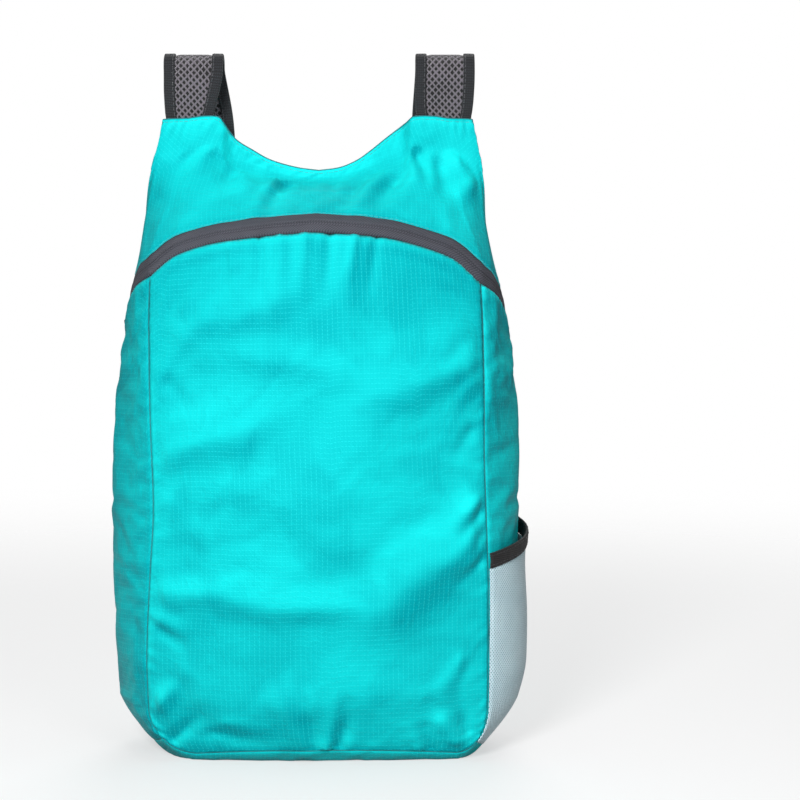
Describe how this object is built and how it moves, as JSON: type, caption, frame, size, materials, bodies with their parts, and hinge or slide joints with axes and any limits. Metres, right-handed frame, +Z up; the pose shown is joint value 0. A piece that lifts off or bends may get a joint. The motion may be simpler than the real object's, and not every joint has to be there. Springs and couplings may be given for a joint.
{
  "type": "packable backpack",
  "caption": "Thin ripstop cloth daypack with an arched top zip, padded mesh shoulder straps on tall horns and a net side pocket, stuffed and standing on its base.",
  "frame": {"origin": "on the floor, under the middle of the bag, on the bottom panel's flat face", "axes": "+Z up the bag, -Y out of the front panel, +X to the right of someone who looks at the front"},
  "size_m": [0.2928, 0.1647, 0.4874],
  "materials": {
    "shell_cloth": "thin ripstop nylon with a soft sheen, turquoise",
    "zip_tape": "woven zip tape, grey-violet",
    "zip_coil": "nylon coil, dark grey",
    "slider_metal": "cast slider, black lacquer",
    "pull_metal": "stamped pull, grey metal",
    "strap_mesh": "open spacer mesh, grey with a violet cast",
    "binding": "grosgrain edge binding, charcoal",
    "webbing": "woven webbing, black",
    "lock_plastic": "moulded acetal, black",
    "pocket_net": "fine warp-knit net, silver blue",
    "pocket_elastic": "knitted elastic, black"
  },
  "bodies": {
    "bag": {"front_panel": "shell_cloth", "side_gusset_left": "shell_cloth", "side_gusset_right": "shell_cloth", "bottom_panel": "shell_cloth", "back_panel": "shell_cloth", "yoke_panel": "shell_cloth", "zip_tape_lower": "zip_tape", "zip_coil": "zip_coil", "zip_tape_upper": "zip_tape", "pocket_net": "pocket_net", "pocket_elastic": "pocket_elastic", "strap_mesh_left": "strap_mesh", "binding_outer_left": "binding", "binding_inner_left": "binding", "strap_loop_left": "webbing", "ladder_lock_left": "lock_plastic", "webbing_left": "webbing", "strap_tab_left": "shell_cloth", "strap_mesh_right": "strap_mesh", "binding_outer_right": "binding", "binding_inner_right": "binding", "strap_loop_right": "webbing", "ladder_lock_right": "lock_plastic", "webbing_right": "webbing", "strap_tab_right": "shell_cloth", "zip_slider": "slider_metal"},
    "pull": {"zip_pull": "pull_metal"}
  },
  "joints": [
    {"name": "pull_swing", "type": "hinge", "parent": "bag", "child": "pull", "pos_m": [-0.13612, 0.03219, 0.29722], "axis": [0.3029, 0.8083, 0.5049], "range_deg": [0, 165]}
  ]
}
